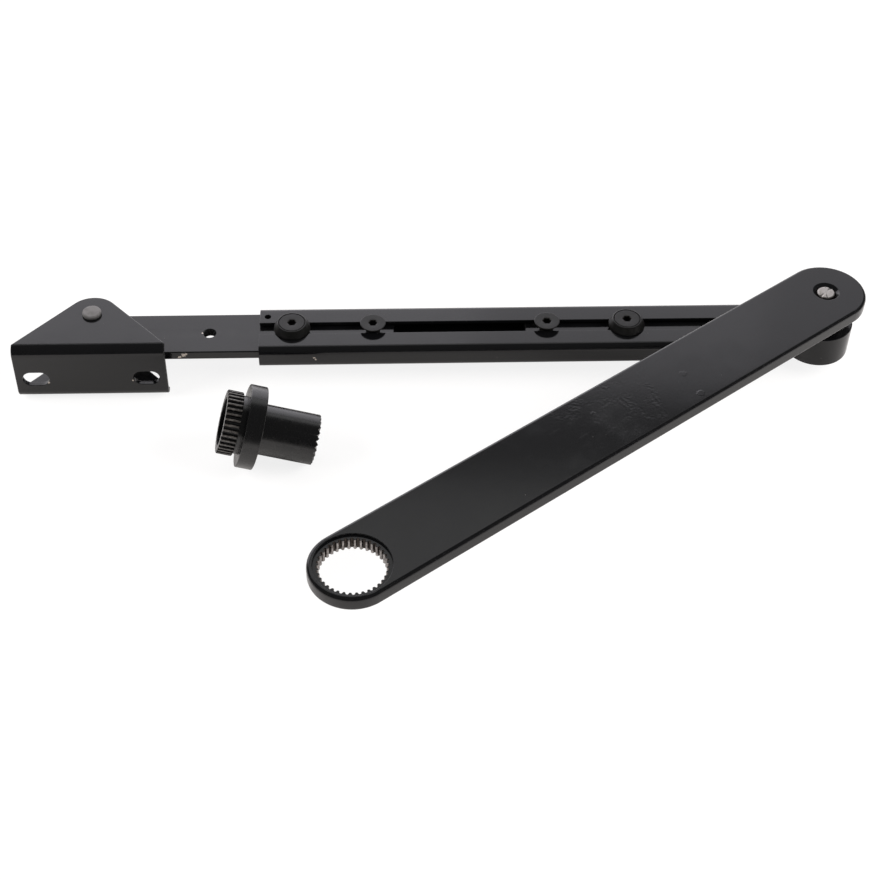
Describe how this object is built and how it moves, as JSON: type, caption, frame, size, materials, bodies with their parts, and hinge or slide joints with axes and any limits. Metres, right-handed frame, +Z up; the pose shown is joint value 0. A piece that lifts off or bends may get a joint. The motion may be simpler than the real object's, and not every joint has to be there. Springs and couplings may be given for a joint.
{
  "type": "gate opener arm",
  "caption": "Folding push arm with a splined drive arm, a pinned elbow, a slotted telescoping forearm, a clevis shoe and a loose splined spindle adapter.",
  "frame": {"origin": "centre of the splined drive hole, on the underside of the drive arm", "axes": "+Z up along every pivot, +X along the forearm from the shoe to the elbow, +Y completes the frame and points away from the drive arm"},
  "size_m": [0.542, 0.2732, 0.0558],
  "materials": {
    "black_coat": "semi-gloss black powder coat with fine orange peel",
    "bare_steel": "bare turned steel, slightly peened",
    "rivet_steel": "dull grey pressed steel",
    "screw_black": "satin black finish on turned steel",
    "black_oxide": "glossy black oxide over machined steel",
    "bronze": "sintered bronze",
    "zinc_plate": "bright zinc plate"
  },
  "bodies": {
    "drive_arm": {"drive_arm": "black_coat", "elbow_pin": "bare_steel", "elbow_collar": "black_coat", "elbow_thrust_washer": "zinc_plate", "elbow_retaining_ring": "zinc_plate"},
    "elbow_bar": {"elbow_boss": "black_coat", "elbow_bar": "black_coat", "upper_elbow_bush": "bronze", "lower_elbow_bush": "bronze"},
    "channel": {"adjusting_channel": "black_coat"},
    "shoe_bar": {"shoe_bar": "black_coat", "shoe_pivot_bush": "bronze"},
    "shoe": {"shoe_bracket": "black_coat", "shoe_rivet": "rivet_steel", "upper_shoe_spacer": "zinc_plate", "lower_shoe_spacer": "zinc_plate"},
    "elbow_cup": {"elbow_cup_washer": "screw_black"},
    "elbow_clamp": {"elbow_clamp_screw": "screw_black"},
    "elbow_guide": {"elbow_guide_screw": "screw_black"},
    "shoe_cup": {"shoe_cup_washer": "screw_black"},
    "shoe_clamp": {"shoe_clamp_screw": "screw_black"},
    "shoe_guide": {"shoe_guide_screw": "screw_black"},
    "adapter": {"spindle_adapter": "black_oxide"}
  },
  "joints": [
    {"name": "elbow_pivot", "type": "hinge", "parent": "drive_arm", "child": "elbow_bar", "pos_m": [0.30382, 0.22236, -0.025], "axis": [0, 0, 1], "range_deg": [-316, 5]},
    {"name": "channel_slide", "type": "slide", "parent": "elbow_bar", "child": "channel", "axis": [1, 0, 0], "range_m": [-0.06, 0.015]},
    {"name": "shoe_bar_slide", "type": "slide", "parent": "channel", "child": "shoe_bar", "axis": [1, 0, 0], "range_m": [-0.012, 0.065]},
    {"name": "shoe_pivot", "type": "hinge", "parent": "shoe_bar", "child": "shoe", "pos_m": [-0.16518, 0.22236, -0.0235], "axis": [0, 0, 1], "range_deg": [-188, 9]},
    {"name": "elbow_clamp_rise", "type": "slide", "parent": "elbow_bar", "child": "elbow_cup", "axis": [0, 0, 1], "range_m": [0, 0.0026]},
    {"name": "elbow_clamp_turn", "type": "hinge", "parent": "elbow_cup", "child": "elbow_clamp", "pos_m": [0.17752, 0.22236, -0.02], "axis": [0, 0, 1], "range_deg": [0, 720]},
    {"name": "elbow_guide_turn", "type": "hinge", "parent": "elbow_bar", "child": "elbow_guide", "pos_m": [0.12552, 0.22236, -0.02], "axis": [0, 0, 1], "range_deg": [0, 360]},
    {"name": "shoe_clamp_rise", "type": "slide", "parent": "shoe_bar", "child": "shoe_cup", "axis": [0, 0, 1], "range_m": [0, 0.0026]},
    {"name": "shoe_clamp_turn", "type": "hinge", "parent": "shoe_cup", "child": "shoe_clamp", "pos_m": [-0.03888, 0.22236, -0.02], "axis": [0, 0, 1], "range_deg": [0, 720]},
    {"name": "shoe_guide_turn", "type": "hinge", "parent": "shoe_bar", "child": "shoe_guide", "pos_m": [0.01312, 0.22236, -0.02], "axis": [0, 0, 1], "range_deg": [0, 360]},
    {"name": "adapter_lift", "type": "slide", "parent": "drive_arm", "child": "adapter", "axis": [0, 0, 1], "range_m": [0, 0.06]}
  ],
  "couplings": [
    {"joint": "elbow_clamp_rise", "follows": "elbow_clamp_turn", "m_per_rad": 0.00019894},
    {"joint": "shoe_clamp_rise", "follows": "shoe_clamp_turn", "m_per_rad": 0.00019894}
  ]
}
